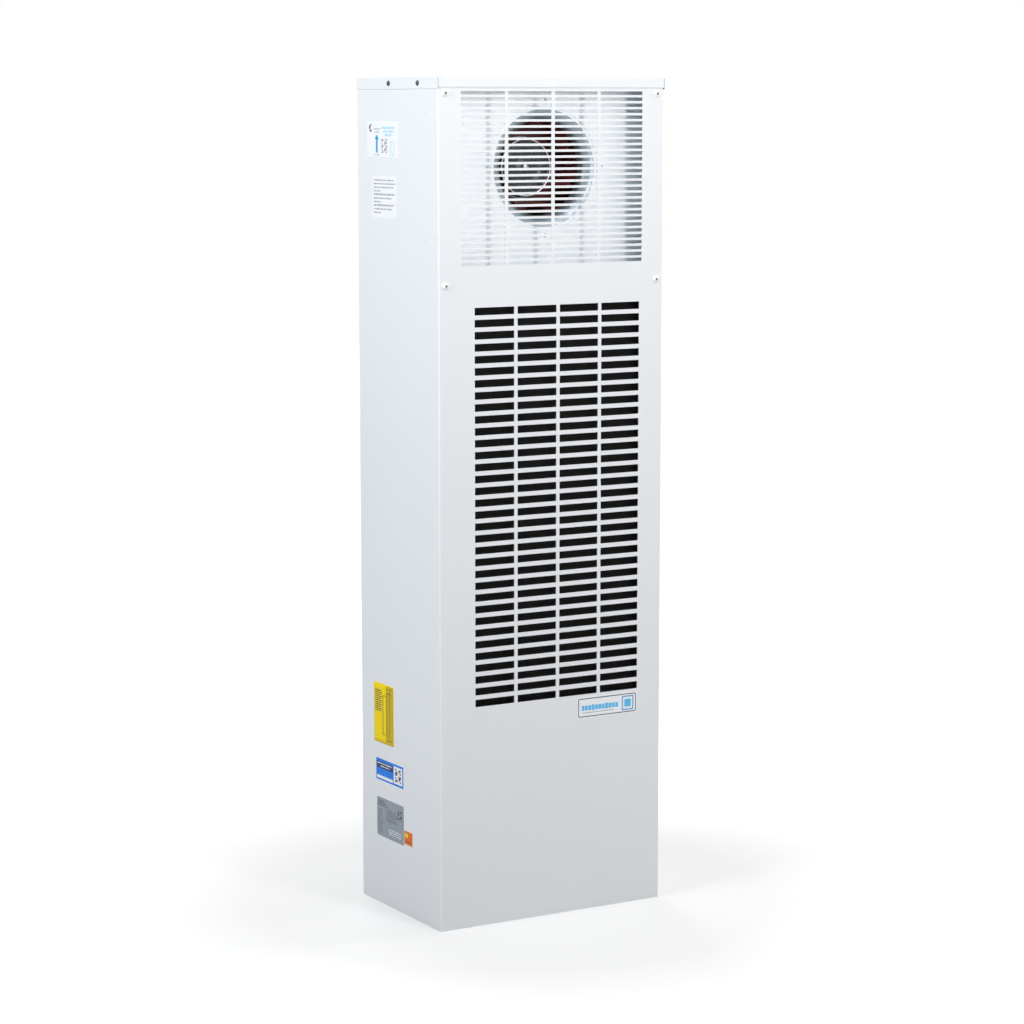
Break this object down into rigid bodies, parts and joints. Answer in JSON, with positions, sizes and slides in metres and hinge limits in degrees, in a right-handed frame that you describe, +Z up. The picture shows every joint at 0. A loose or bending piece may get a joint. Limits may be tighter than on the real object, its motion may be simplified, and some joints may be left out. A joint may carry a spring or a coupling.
{
  "type": "enclosure cooling unit",
  "caption": "Tall side-mounted cooling unit for an enclosure: sheet-metal housing with front grilles, fans, condenser, compressor and evaporator behind a partition.",
  "frame": {"origin": "centre of the footprint, on the surface that the unit stands on", "axes": "+X to the right seen from the front, +Y towards the mounting side, +Z up"},
  "size_m": [0.495, 0.3174, 1.58],
  "materials": {
    "painted_sheet": "fine-textured light grey powder coat",
    "painted_screws": "pale painted",
    "galvanised_sheet": "spangled zinc coat",
    "dark_screws": "black zinc",
    "zinc_steel": "bright zinc",
    "gasket_rubber": "matt foam rubber",
    "foam": "matt foam",
    "white_label": "satin film",
    "metal_label": "satin foil",
    "yellow_card": "matt card",
    "black_enamel": "semi-gloss enamel",
    "black_plastic": "matt",
    "wheel_red": "satin",
    "wheel_black": "satin",
    "black_fins": "matt black coat",
    "bare_fins": "bright",
    "copper": "dull copper",
    "brass": "machined",
    "grey_hose": "satin",
    "circuit_board": "lacquered",
    "bare_aluminium": "drawn",
    "terminal_plastic": "matt"
  },
  "bodies": {
    "root": {"front_cover": "painted_sheet", "top_cap": "painted_sheet", "cap_screws": "dark_screws", "cover_screws": "painted_screws", "side_rivets": "painted_sheet", "base_pan": "galvanised_sheet", "back_panel": "galvanised_sheet", "mounting_gasket": "gasket_rubber", "mounting_inserts": "zinc_steel", "lifting_bushes": "zinc_steel", "front_badge": "white_label", "rating_plate": "metal_label", "notice_labels": "white_label", "instruction_tag": "yellow_card", "fan_plate": "galvanised_sheet", "inlet_nozzle": "galvanised_sheet", "small_screws": "zinc_steel", "ambient_motor_bracket": "galvanised_sheet", "ambient_motor_stator": "zinc_steel", "ambient_motor_bearings": "zinc_steel", "partition_wall": "galvanised_sheet", "partition_foam": "foam", "chamber_floor": "galvanised_sheet", "enclosure_nozzle": "galvanised_sheet", "enclosure_motor_bracket": "galvanised_sheet", "enclosure_motor_stator": "zinc_steel", "enclosure_motor_bearings": "zinc_steel", "condenser_fins": "black_fins", "condenser_end_plates": "galvanised_sheet", "condenser_tubes": "copper", "evaporator_fins": "bare_fins", "evaporator_end_plates": "galvanised_sheet", "evaporator_tubes": "copper", "condensate_tray": "galvanised_sheet", "drain_hose": "grey_hose", "drain_spigot": "black_plastic", "compressor_shell": "black_enamel", "compressor_base": "black_enamel", "compressor_grommets": "gasket_rubber", "compressor_bolts": "zinc_steel", "compressor_terminal_cover": "black_plastic", "suction_accumulator": "black_enamel", "discharge_line": "copper", "liquid_line": "copper", "suction_line": "copper", "filter_drier": "copper", "expansion_valve": "brass", "control_box": "galvanised_sheet", "control_board": "circuit_board", "run_capacitor": "bare_aluminium", "terminal_block": "terminal_plastic", "service_tray": "galvanised_sheet", "power_connector": "black_plastic", "connector_pins": "zinc_steel", "thermostat_body": "black_plastic"},
    "ambient_wheel": {"ambient_motor_rotor": "black_enamel", "ambient_impeller": "wheel_red"},
    "enclosure_wheel": {"enclosure_motor_rotor": "black_enamel", "enclosure_impeller": "wheel_black"},
    "knob": {"setpoint_knob": "black_plastic"}
  },
  "joints": [
    {"name": "ambient_fan_spin", "type": "hinge", "parent": "root", "child": "ambient_wheel", "pos_m": [0.0115, -0.02, 1.414], "axis": [0, 1, 0], "continuous": true},
    {"name": "enclosure_fan_spin", "type": "hinge", "parent": "root", "child": "enclosure_wheel", "pos_m": [0, 0.1, 1.41], "axis": [0, 1, 0], "continuous": true},
    {"name": "setpoint_turn", "type": "hinge", "parent": "root", "child": "knob", "pos_m": [-0.112, 0.15, 0.118], "axis": [0, 1, 0], "range_deg": [-135, 135]}
  ]
}
